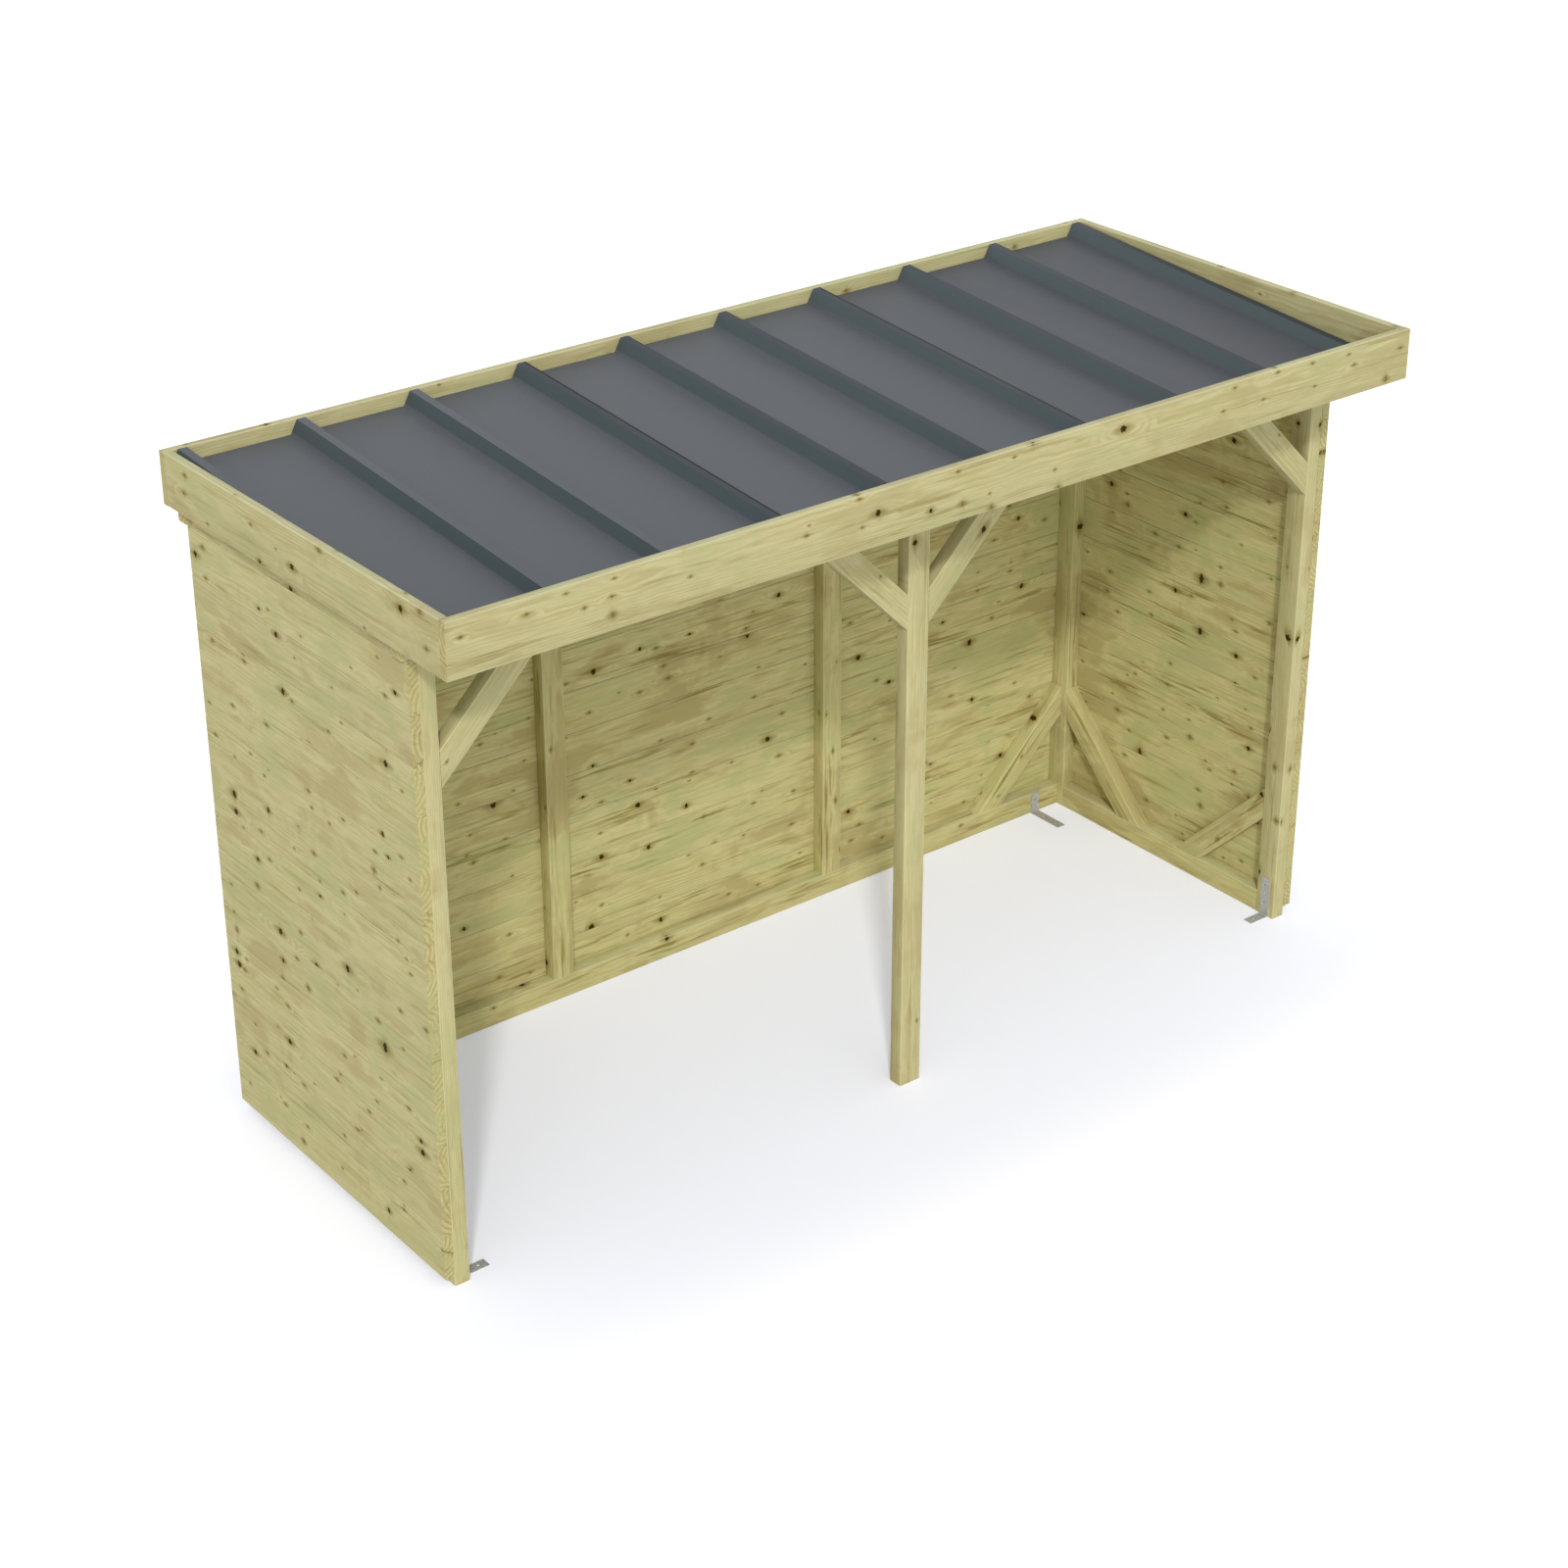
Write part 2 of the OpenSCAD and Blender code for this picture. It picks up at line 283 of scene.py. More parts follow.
class LogStoreStage(bpy.types.PropertyGroup):
    """Floor, lamps and camera."""

    sky: FloatProperty(
        name="Sky",
        description="Brightness of the even white light all round",
        default=0.62,
        min=0.0,
        max=3.0,
    )
    sun: FloatProperty(
        name="Sun",
        description="Strength of the soft sun from the front left",
        default=1.2,
        min=0.0,
        max=6.0,
    )
    sun_size: FloatProperty(
        name="Sun size",
        description="Angle of the sun's disc, which softens its shadows",
        default=math.radians(4.0),
        min=0.0,
        max=math.radians(40.0),
        subtype="ANGLE",
    )
    fill: FloatProperty(
        name="Fill",
        description="Strength of the broad soft light from the front",
        default=0.6,
        min=0.0,
        max=6.0,
    )
    fill_size: FloatProperty(
        name="Fill size",
        description="Angle that the broad light fills",
        default=math.radians(70.0),
        min=0.0,
        max=math.radians(170.0),
        subtype="ANGLE",
    )
    floor: FloatProperty(
        name="Floor",
        description="Paleness of the studio floor",
        default=0.85,
        min=0.0,
        max=1.0,
    )
    near_glow: FloatVectorProperty(
        name="Glow under the store",
        description="Light the camera sees in the floor under the store besides its lit colour",
        default=(0.165, 0.188, 0.25),
        min=0.0,
        max=1.0,
        subtype="COLOR",
    )
    open_glow: FloatProperty(
        name="Glow of the open floor",
        description="Light the camera sees in the floor well away from the store",
        default=0.36,
        min=0.0,
        max=1.0,
    )
    glow_reach: FloatProperty(
        name="Glow reach",
        description="How far from the store the floor takes to turn fully pale",
        default=0.7,
        min=0.1,
        max=3.0,
        unit="LENGTH",
        subtype="DISTANCE",
    )
    floor_tint: FloatVectorProperty(
        name="Floor tint",
        description="Lit colour of the floor to the camera, cool against the timber's cast",
        subtype="COLOR",
        size=3,
        min=0.0,
        max=1.0,
        default=(0.96, 0.95, 0.975),
    )
    lens: FloatProperty(
        name="Lens",
        description="Focal length on a 36 mm sensor",
        default=69.2,
        min=10.0,
        max=300.0,
        subtype="DISTANCE_CAMERA",
    )


# Nodes


class Bench:
    """Lays out the nodes of one tree, column by column."""

    rows = 6
    column_width = 190
    row_height = 230

    def __init__(self, tree):
        self.tree = tree
        self.count = 0

    def node(self, kind, **settings):
        column, row = divmod(self.count, self.rows)
        made = self.tree.nodes.new(kind)
        made.location = (column * self.column_width, -row * self.row_height)
        self.count += 1
        for key, value in settings.items():
            setattr(made, key, value)
        return made

    def feed(self, socket, value):
        if isinstance(value, bpy.types.NodeSocket):
            self.tree.links.new(value, socket)
        else:
            socket.default_value = value

    def maths(self, operation, *values):
        made = self.node("ShaderNodeMath", operation=operation)
        for socket, value in zip(made.inputs, values):
            self.feed(socket, value)
        return made.outputs[0]

    def plus(self, first, second):
        return self.maths("ADD", first, second)

    def minus(self, first, second):
        return self.maths("SUBTRACT", first, second)

    def times(self, first, second):
        return self.maths("MULTIPLY", first, second)

    def over(self, first, second):
        return self.maths("DIVIDE", first, second)

    def times_plus(self, first, second, third):
        return self.maths("MULTIPLY_ADD", first, second, third)

    def diagonal(self, first, second):
        return self.maths("SQRT", self.plus(self.times(first, first), self.times(second, second)))

    def vectors(self, operation, first, second, result="Vector"):
        made = self.node("ShaderNodeVectorMath", operation=operation)
        self.feed(made.inputs[0], first)
        self.feed(made.inputs[1], second)
        return made.outputs[result]

    def split(self, vector):
        made = self.node("ShaderNodeSeparateXYZ")
        self.feed(made.inputs[0], vector)
        return made.outputs

    def noise(self, place, scale, detail=2.0, roughness=0.5, distortion=0.0):
        made = self.node("ShaderNodeTexNoise")
        self.feed(made.inputs["Vector"], place)
        made.inputs["Scale"].default_value = scale
        made.inputs["Detail"].default_value = detail
        made.inputs["Roughness"].default_value = roughness
        made.inputs["Distortion"].default_value = distortion
        return made.outputs

    def stretched_noise(self, place, rates, detail, roughness=0.5, distortion=0.0):
        place = self.vectors("MULTIPLY", place, rates)
        return self.noise(place, 1.0, detail, roughness, distortion)[0]

    def fade(self, value, low, high, to_low=0.0, to_high=1.0):
        made = self.node("ShaderNodeMapRange", interpolation_type="SMOOTHSTEP")
        for socket, given in zip(made.inputs, (value, low, high, to_low, to_high)):
            self.feed(socket, given)
        return made.outputs[0]

    def blend(self, share, first, second, way="MIX"):
        made = self.node("ShaderNodeMix", data_type="RGBA", blend_type=way)
        self.feed(made.inputs[0], share)
        self.feed(made.inputs[6], first)
        self.feed(made.inputs[7], second)
        return made.outputs[2]

    def tinted(self, colour, red, green, blue):
        return self.blend(1.0, colour, (red, green, blue, 1.0), "MULTIPLY")

    def facing_up(self):
        return self.split(self.node("ShaderNodeNewGeometry").outputs["True Normal"])[2]

    def bump(self, surface, height, strength, distance):
        made = self.node("ShaderNodeBump")
        made.inputs["Strength"].default_value = strength
        made.inputs["Distance"].default_value = distance
        self.feed(made.inputs["Height"], height)
        self.feed(surface.inputs["Normal"], made.outputs[0])


def new_material(name):
    """A fresh material, the bench its nodes are laid out on, and its shader."""
    made = bpy.data.materials.new(name)
    made.use_nodes = True
    return made, Bench(made.node_tree), made.node_tree.nodes["Principled BSDF"]


def paint(colour):
    """A setting's colour with its alpha."""
    return (*colour, 1.0)


# Pine

# How close branches stand along the log and round it, and the knots they leave
BRANCHES_A_METRE = 6.2
BRANCHES_A_RADIAN = 1.15
KNOTS_TO_DEAD_KNOTS = 4.2
DEAD_KNOT_LEAST = 0.0044
DEAD_KNOT_SPREAD = 0.0050
PIN_KNOT_LEAST = 0.0020
PIN_KNOT_SPREAD = 0.0028
TAIL_SHARE = 0.28

Knots = namedtuple("Knots", "dead girth core halo swirl smear")


def grow_knots(b, given, along, angle, radius):
    """Knots keep their place along and round the log, as branches grow straight from the pith."""
    place = b.node("ShaderNodeCombineXYZ")
    b.feed(place.inputs[0], b.times(along, BRANCHES_A_METRE))
    b.feed(place.inputs[1], b.times(angle, BRANCHES_A_RADIAN))
    branch = b.node("ShaderNodeTexVoronoi", voronoi_dimensions="2D", feature="F1")
    b.feed(branch.inputs["Vector"], place.outputs[0])
    branch.inputs["Scale"].default_value = 1.0
    branch.inputs["Randomness"].default_value = 1.0
    gap = b.vectors("SUBTRACT", place.outputs[0], branch.outputs["Position"])
    gap = b.split(b.vectors("DIVIDE", gap, (BRANCHES_A_METRE, BRANCHES_A_RADIAN, 1.0)))
    gap_across = b.times(gap[1], radius)
    ragged = b.fade(b.noise(given["Grain"], 210.0, 2.0)[0], 0.25, 0.75, 0.7, 1.35)
    away = b.times(b.diagonal(gap[0], gap_across), ragged)
    tail = b.diagonal(b.times(gap[0], TAIL_SHARE), gap_across)
    luck = b.node("ShaderNodeSeparateColor")
    b.feed(luck.inputs[0], branch.outputs["Color"])
    chance, size = luck.outputs[:2]
    dead = b.maths("LESS_THAN", chance, given["Knot Share"])
    alive = b.minus(1.0, dead)
    pin = b.maths("LESS_THAN", chance, b.times(given["Knot Share"], KNOTS_TO_DEAD_KNOTS))
    there = b.plus(dead, b.times(alive, pin))
    dead_girth = b.times_plus(size, DEAD_KNOT_SPREAD, DEAD_KNOT_LEAST)
    pin_girth = b.times_plus(size, PIN_KNOT_SPREAD, PIN_KNOT_LEAST)
    girth = b.plus(b.times(dead, dead_girth), b.times(alive, pin_girth))
    away = b.over(away, girth)
    tail = b.over(tail, girth)
    return Knots(
        dead,
        girth,
        core=b.times(b.fade(away, 0.8, 1.2, 1.0, 0.0), there),
        halo=b.times(b.fade(away, 0.9, 3.6, 1.0, 0.0), there),
        swirl=b.times(b.fade(tail, 0.0, 4.5, 1.0, 0.0), there),
        smear=b.times(b.fade(tail, 0.4, 1.7, 1.0, 0.0), there),
    )


def year_rings(b, given, radius, knots):
    """Late wood in rings round the pith, pushed aside by each knot and clearest on sawn ends."""
    pushed = b.times_plus(b.times(knots.swirl, knots.girth), 2.4, radius)
    pushed = b.times_plus(b.noise(given["Grain"], 9.0, 1.0)[0], 0.006, pushed)
    coarse = b.times_plus(given["Cut End"], 1.2, 1.0)
    year = b.maths("FRACT", b.over(pushed, b.times(given["Ring Width"], coarse)))
    late = b.times(b.fade(year, 0.25, 0.85), b.fade(year, 0.9, 1.0, 1.0, 0.0))
    wet = b.stretched_noise(given["Grain"], (1.5, 20.0, 20.0), 1.0)
    on_sides = b.times(late, b.fade(wet, 0.3, 0.7, 0.10, 0.55))
    return b.maths("MAXIMUM", on_sides, b.times(late, b.times(given["Cut End"], 0.9)))


def stained(b, given, colour):
    """Soft stains that run across the joints, and fainter ones along each board."""
    cloud = b.stretched_noise(given["Place"], (3.0, 3.8, 5.0), 4.0, 0.6, 0.6)
    patch = b.stretched_noise(given["Grain"], (3.0, 22.0, 22.0), 3.0)
    patch = b.times_plus(cloud, 0.6, b.times(patch, 0.4))
    # Real stains, drawn stronger under the roof as painted shade
    stain = b.times(given["Stain"], b.times_plus(given["Shelter"], 0.35, 0.8))
    colour = b.blend(b.times(b.fade(patch, 0.50, 0.59), stain), colour, given["Green Stain"])
    return b.blend(b.times(b.fade(patch, 0.49, 0.40), stain), colour, given["Warm Stain"])


def fibres(b, grain):
    """Fine fibres along the grain, and how strong they and the broader ones are together."""
    fine = b.stretched_noise(grain, (11.0, 420.0, 420.0), 3.0, 0.6)
    broad = b.stretched_noise(grain, (9.0, 110.0, 110.0), 3.0, 0.7)
    fine_part = b.times(b.fade(fine, 0.35, 0.75), 0.4)
    return fine, b.times_plus(b.fade(broad, 0.42, 0.68), 0.6, fine_part)


def streaks(b, given):
    """Groups of dark streaks along the grain, drawn deepest under the roof as painted shade."""
    groups = b.stretched_noise(given["Grain"], (2.2, 18.0, 18.0), 2.0)
    lines = b.stretched_noise(given["Grain"], (4.0, 80.0, 80.0), 4.0, 0.62, 0.4)
    streak = b.times(b.fade(groups, 0.42, 0.66), b.fade(lines, 0.50, 0.66))
    return b.times(streak, b.times_plus(given["Shelter"], 0.40, 0.50))


def painted_light_and_cut_ends(b, given, colour):
    """Paints light and shade into the colour: wood under the roof drawn lighter, a painted
    highlight on arrises, painted sky light on faces turned up; sawn ends turn yellow.
    """
    # Painted light: the wood under the roof is drawn lighter
    colour = b.blend(given["Shelter"], colour, b.tinted(colour, 1.09, 1.085, 0.985))
    colour = b.blend(given["Cut End"], colour, b.tinted(colour, 1.0, 0.99, 0.92))
    # Painted highlight: arrises drawn paler and cooler
    arris_highlight = b.tinted(b.blend(0.6, colour, given["Early Wood"]), 1.05, 1.06, 1.12)
    colour = b.blend(given["Arris"], colour, arris_highlight)
    # Painted sky light: faces turned up drawn paler and bluer
    return b.blend(given["Weather"], colour, b.tinted(colour, 1.08, 1.13, 1.30))


def pine_grain_group():
    """Solid pine: year rings round the pith, knots growing out of it, fibres and stains."""
    name = "Pine grain"
    if name in bpy.data.node_groups:
        return bpy.data.node_groups[name]
    group = bpy.data.node_groups.new(name, "ShaderNodeTree")
    for way, label, kind in (
        ("INPUT", "Place", "NodeSocketVector"),
        ("INPUT", "Grain", "NodeSocketVector"),
        ("INPUT", "Tone", "NodeSocketFloat"),
        ("INPUT", "Cut End", "NodeSocketFloat"),
        ("INPUT", "Arris", "NodeSocketFloat"),
        ("INPUT", "Shelter", "NodeSocketFloat"),
        ("INPUT", "Weather", "NodeSocketFloat"),
        ("INPUT", "Early Wood", "NodeSocketColor"),
        ("INPUT", "Late Wood", "NodeSocketColor"),
        ("INPUT", "Green Stain", "NodeSocketColor"),
        ("INPUT", "Warm Stain", "NodeSocketColor"),
        ("INPUT", "Knot", "NodeSocketColor"),
        ("INPUT", "Ring Width", "NodeSocketFloat"),
        ("INPUT", "Knot Share", "NodeSocketFloat"),
        ("INPUT", "Stain", "NodeSocketFloat"),
        ("OUTPUT", "Color", "NodeSocketColor"),
        ("OUTPUT", "Roughness", "NodeSocketFloat"),
        ("OUTPUT", "Height", "NodeSocketFloat"),
    ):
        group.interface.new_socket(name=label, in_out=way, socket_type=kind)
    b = Bench(group)
    given = b.node("NodeGroupInput").outputs

    # The grain wanders a little along the log
    slow = b.vectors("MULTIPLY", given["Grain"], (1.4, 5.0, 5.0))
    wander = b.vectors("SUBTRACT", b.noise(slow, 1.0, 2.0)["Color"], (0.5, 0.5, 0.5))
    wander = b.vectors("MULTIPLY", wander, (0.0, 0.022, 0.022))
    along, across, through = b.split(b.vectors("ADD", given["Grain"], wander))
    radius = b.diagonal(across, through)
    angle = b.maths("ARCTAN2", across, through)

    # Rings, stains, fibres and streaks
    knots = grow_knots(b, given, along, angle, radius)
    late = year_rings(b, given, radius, knots)
    fine, fibre = fibres(b, given["Grain"])
    darker = b.tinted(given["Late Wood"], 0.58, 0.53, 0.32)
    colour = b.blend(late, given["Early Wood"], given["Late Wood"])
    colour = stained(b, given, colour)
    colour = b.blend(b.times(fibre, 0.5), colour, given["Late Wood"])
    colour = b.blend(streaks(b, given), colour, darker)

    # Dead knots are dark with brown tails along the grain, and pin knots are brown
    colour = b.blend(b.times(knots.halo, 0.30), colour, darker)
    smear = b.times(knots.smear, b.fade(fine, 0.3, 0.6, 0.35, 0.75))
    colour = b.blend(smear, colour, darker)
    heart = b.blend(knots.dead, b.blend(0.4, darker, given["Knot"]), given["Knot"])
    core = b.times(knots.core, b.times_plus(knots.dead, 0.38, 0.62))
    colour = painted_light_and_cut_ends(b, given, b.blend(core, colour, heart))

    # No two timbers have quite the same tone
    shade = b.times_plus(given["Tone"], 0.03, 1.0)
    tint = b.node("ShaderNodeCombineColor")
    for socket in tint.inputs[:3]:
        b.feed(socket, shade)
    colour = b.blend(1.0, colour, tint.outputs[0], "MULTIPLY")

    rough = b.times_plus(fibre, 0.10, 0.66)
    rough = b.minus(rough, b.times(knots.core, 0.15))
    height = b.times_plus(late, 0.5, b.times(fibre, -0.35))
    height = b.times_plus(knots.core, -0.8, height)
    out = b.node("NodeGroupOutput")
    b.feed(out.inputs["Color"], colour)
    b.feed(out.inputs["Roughness"], rough)
    b.feed(out.inputs["Height"], height)
    return group


def pine(name):
    """The pine finish of the frame, the fascia or the boarding, each with its knots and stains."""
    if name in bpy.data.materials:
        return bpy.data.materials[name]
    wood = bpy.context.scene.log_store_pine
    knot_share, stain = {
        "planed_pine": (wood.frame_knots, wood.frame_stain),
        "fascia_pine": (wood.board_knots, wood.frame_stain),
        "boarding_pine": (wood.board_knots, wood.board_stain),
    }[name]
    made, b, surface = new_material(name)
    grain = b.node("ShaderNodeGroup", node_tree=pine_grain_group())
    for label, attribute, output in (
        ("Grain", "grain", "Vector"),
        ("Tone", "tone", "Fac"),
        ("Cut End", "cut_end", "Fac"),
        ("Arris", "arris", "Fac"),
        ("Shelter", "shelter", "Fac"),
    ):
        source = b.node("ShaderNodeAttribute", attribute_name=attribute)
        b.feed(grain.inputs[label], source.outputs[output])
    for label, value in (
        ("Place", b.node("ShaderNodeTexCoord").outputs["Object"]),
        # Painted sky light on faces turned up
        ("Weather", b.fade(b.facing_up(), 0.7, 0.9)),
        ("Early Wood", paint(wood.early_wood)),
        ("Late Wood", paint(wood.late_wood)),
        ("Green Stain", paint(wood.green_stain)),
        ("Warm Stain", paint(wood.warm_stain)),
        ("Knot", paint(wood.knot)),
        ("Ring Width", wood.ring_width),
        ("Knot Share", knot_share),
        ("Stain", stain),
    ):
        b.feed(grain.inputs[label], value)
    b.feed(surface.inputs["Base Color"], grain.outputs["Color"])
    b.feed(surface.inputs["Roughness"], grain.outputs["Roughness"])
    surface.inputs["Specular IOR Level"].default_value = 0.04
    b.bump(surface, grain.outputs["Height"], 0.35, 0.0006)
    return made


# Metal

# Heights above the flats of a roof sheet at which its dust thins out and its crests begin
DUST_FADE = (0.004, 0.012)
CREST_FOOT = 0.03
# Half the width of the painted shadow along a lap, inside and out
LAP_SHADOW = (0.004, 0.006)


def roof_coat():
    """Matt coat: dust on the flats with painted shade towards the right, painted light on the ribs
    towards the right, painted shade on the crests but a painted highlight near the left end,
    painted shadow along the laps, a pale backing.
    """
    metal = bpy.context.scene.log_store_metal
    made, b, surface = new_material("roof_coat")
    place = b.node("ShaderNodeTexCoord").outputs["Object"]
    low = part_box("middle_roof_sheet")[0]
    rise = b.minus(b.vectors("DOT_PRODUCT", place, ROOF_UP, "Value"), low.dot(ROOF_UP))
    rightward = b.split(place)[0]
    facing_up = b.facing_up()
    cloud = b.stretched_noise(place, (7.0, 1.2, 7.0), 3.0)
    coat = paint(metal.roof_coat)
    dust = paint(metal.roof_dust)

    # Flats and ribs
    dust_and_shade = b.blend(b.fade(cloud, 0.3, 0.7), dust, b.tinted(dust, 1.10, 1.10, 1.09))
    # Painted shade: the flats darken towards the right
    dust_and_shade = b.blend(b.fade(rightward, 0.0, 1.3), dust_and_shade, b.tinted(dust, 0.84, 0.84, 0.85))
    # Painted light: the ribs are drawn lighter towards the right
    rib_left_shade = b.tinted(coat, 0.92, 0.93, 0.93)
    ribs = b.blend(b.fade(rightward, -1.2, 1.3), rib_left_shade, b.tinted(coat, 1.24, 1.20, 1.20))
    colour = b.blend(b.fade(rise, *DUST_FADE, 1.0, 0.0), ribs, dust_and_shade)

    # Crests get painted shade; near the left end they keep the flats' paler colour as a painted
    # highlight
    high = b.maths("GREATER_THAN", rise, CREST_FOOT)
    crest = b.times(high, b.maths("GREATER_THAN", facing_up, 0.9))
    crest_shade = b.tinted(coat, 0.64, 0.57, 0.62)
    colour = b.blend(crest, colour, b.blend(b.fade(rightward, -0.75, -0.6), dust, crest_shade))

    # Painted shadow along the laps
    lap_shadow = b.tinted(colour, 0.12, 0.12, 0.12)
    for sheet in ("left_roof_sheet", "middle_roof_sheet"):
        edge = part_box(sheet)[1].x - LAP_SHADOW[0]
        gap = b.maths("ABSOLUTE", b.minus(rightward, edge))
        line = b.times(b.fade(gap, *LAP_SHADOW, 1.0, 0.0), b.fade(rise, 0.02, 0.03))
        colour = b.blend(line, colour, lap_shadow)

    under = b.maths("LESS_THAN", facing_up, -0.05)
    b.feed(surface.inputs["Base Color"], b.blend(under, colour, paint(metal.roof_backing)))
    b.feed(surface.inputs["Roughness"], b.fade(cloud, 0.3, 0.7, 0.42, 0.52))
    surface.inputs["Specular IOR Level"].default_value = 0.15
    b.bump(surface, b.noise(place, 900.0, 2.0)[0], 0.12, 0.0002)
    return made


def zinc_finish():
    """Dull hot-dip zinc with its spangle."""
    made, b, surface = new_material("zinc_finish")
    spangle = b.node("ShaderNodeTexVoronoi", feature="F1")
    b.feed(spangle.inputs["Vector"], b.node("ShaderNodeTexCoord").outputs["Object"])
    spangle.inputs["Scale"].default_value = 160.0
    flake = b.node("ShaderNodeSeparateColor")
    b.feed(flake.inputs[0], spangle.outputs["Color"])
    zinc = paint(bpy.context.scene.log_store_metal.zinc)
    bright = b.tinted(zinc, 1.25, 1.25, 1.26)
    b.feed(surface.inputs["Base Color"], b.blend(flake.outputs[0], zinc, bright))
    b.feed(surface.inputs["Roughness"], b.fade(flake.outputs[1], 0.0, 1.0, 0.42, 0.60))
    surface.inputs["Metallic"].default_value = 0.55
    return made


# Joinery


def pick(piece, kind, test):
    """Selects the vertices, edges or faces of a piece that pass a test."""
    mode = {"verts": "VERT", "edges": "EDGE", "faces": "FACE"}[kind]
    bpy.ops.mesh.select_mode(type=mode)
    bpy.ops.mesh.select_all(action="DESELECT")
    cage = bmesh.from_edit_mesh(piece.data)
    for item in getattr(cage, kind):
        item.select_set(test(item))
    cage.select_flush_mode()
    bmesh.update_edit_mesh(piece.data)


def choose(piece):
    """Makes a piece the only one selected, and the active one."""
    bpy.ops.object.select_all(action="DESELECT")
    piece.select_set(True)
    bpy.context.view_layer.objects.active = piece


def mark(piece, name):
    """Writes a name on a piece and on its mesh."""
    piece.name = name
    piece.data.name = name


def sawn_block(name, middle, size, turn=(0.0, 0.0, 0.0)):
    """A rough block of timber, cut to size and laid in place."""
    bpy.ops.object.select_all(action="DESELECT")
    bpy.ops.mesh.primitive_cube_add(size=1.0, location=middle, rotation=turn, scale=size)
    block = bpy.context.object
    mark(block, name)
    bpy.ops.object.transform_apply(location=True, rotation=True, scale=True)
    return block


def saw(piece, point, normal):
    """Cuts off what lies past a plane and closes the cut."""
    choose(piece)
    bpy.ops.object.mode_set(mode="EDIT")
    bpy.ops.mesh.select_all(action="SELECT")
    bpy.ops.mesh.bisect(plane_co=point, plane_no=normal, use_fill=True, clear_outer=True)
    bpy.ops.object.mode_set(mode="OBJECT")


def ease_arrises(piece, along):
    """Rounds the long edges and leaves the sawn ends square."""
    bpy.ops.object.mode_set(mode="EDIT")
    pick(piece, "edges", lambda edge: abs(
        (edge.verts[0].co - edge.verts[1].co).normalized().dot(along)) > SQUARE)
    arris = bpy.context.scene.log_store_timber.arris
    bpy.ops.mesh.bevel(offset=arris, segments=2, affect="EDGES")
    bpy.ops.object.mode_set(mode="OBJECT")


# Where in its log a piece may have been cut: along it, sideways, and away from the pith
LOG_ALONG = (2.0, 90.0)
LOG_SIDEWAYS = (-0.06, 0.06)
LOG_FROM_PITH = (0.045, 0.095)
# How much a face has to look along the grain to be a sawn end, and how little to be an arris
SAWN = 0.35
PLANED = 0.1
# Faces that turn less than this from one to the next are shaded as one surface
SMOOTH_TURN = math.radians(35.0)


def lay_grain(piece, along, across, seed):
    """Gives a piece its place in the log it was cut from, its tone, its ends and its arrises."""
    draw = random.Random(seed)
    ways = (along, across, along.cross(across))
    mesh = piece.data
    points = np.empty(len(mesh.vertices) * 3, np.float32)
    mesh.vertices.foreach_get("co", points)
    points = points.reshape(-1, 3)
    middle = (points.min(0) + points.max(0)) / 2
    log = (points - middle) @ np.array(ways).T
    side = draw.choice((-1.0, 1.0))
    log[:, 0] += draw.uniform(*LOG_ALONG)
    log[:, 1] += draw.uniform(*LOG_SIDEWAYS)
    log[:, 2] = log[:, 2] * side + draw.uniform(*LOG_FROM_PITH)
    tone = np.full(len(points), draw.uniform(-1.0, 1.0), np.float32)
    grain = mesh.attributes.new("grain", "FLOAT_VECTOR", "POINT")
    grain.data.foreach_set("vector", log.astype(np.float32).ravel())
    mesh.attributes.new("tone", "FLOAT", "POINT").data.foreach_set("value", tone)
    cut_end = mesh.attributes.new("cut_end", "FLOAT", "FACE")
    arris = mesh.attributes.new("arris", "FLOAT", "FACE")
    shelter = mesh.attributes.new("shelter", "FLOAT", "FACE")
    for face in mesh.polygons:
        place = face.center
        facing = [abs(face.normal.dot(way)) for way in ways]
        # Faces inside the store, below the posts' tops, take painted light and shade
        inside = abs(place.x) < ROOM_X and POST_HIGH.y < place.y < ROOM_Y
        shelter.data[face.index].value = float(inside and place.z < POST_HIGH.z)
        cut_end.data[face.index].value = float(facing[0] > SAWN)
        arris.data[face.index].value = float(max(facing) < SQUARE and facing[0] < PLANED)


def fit(piece, nodes, finish):
    """Finishes a piece and stands it in for its CAD nodes."""
    piece.data.materials.clear()
    piece.data.materials.append(finish)
    choose(piece)
    bpy.ops.object.shade_smooth_by_angle(angle=SMOOTH_TURN)
    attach(piece, "root")
    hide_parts(*nodes)


def straight_timber(node, along, across, seed, finish="planed_pine"):
    """A planed timber that fills its node's box, with eased arrises."""
    low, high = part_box(node)
    piece = sawn_block(node + "_timber", (low + high) / 2, high - low)
    ease_arrises(piece, along)
    lay_grain(piece, along, across, seed)
    fit(piece, [node], pine(finish))


def diagonal_brace(node, level, side, up, seed):
    """A 45 degree brace. Its corner lies on the given side and, with up false, at the top."""
    low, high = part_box(node)
    rise = Z if up else -Z
    deep = Vector((abs(level.y), abs(level.x), 0.0))
    level = level * side
    corner = (low + high) / 2 - (level + rise) * (high - low).dot(Z) / 2
    outer = high.z - low.z
    inner = outer - SECTION_WIDE * math.sqrt(2.0)
    foot = corner + level * (outer + inner) / 2
    head = corner + rise * (outer + inner) / 2
    along = (head - foot).normalized()
    across = (level + rise).normalized()
    length = (head - foot).length + 2 * SECTION_WIDE
    thin = (high - low).dot(deep)
    turn = Matrix((along, across, along.cross(across))).transposed().to_euler()
    piece = sawn_block(node + "_timber", (foot + head) / 2, (length, SECTION_WIDE, thin), turn)
    ease_arrises(piece, along)
    saw(piece, corner, -level)
    saw(piece, corner, -rise)
    lay_grain(piece, along, across, seed)
    fit(piece, [node], pine("planed_pine"))


# How much deeper a groove is cut than its tongue is high
GROOVE_SPARE = 0.0006


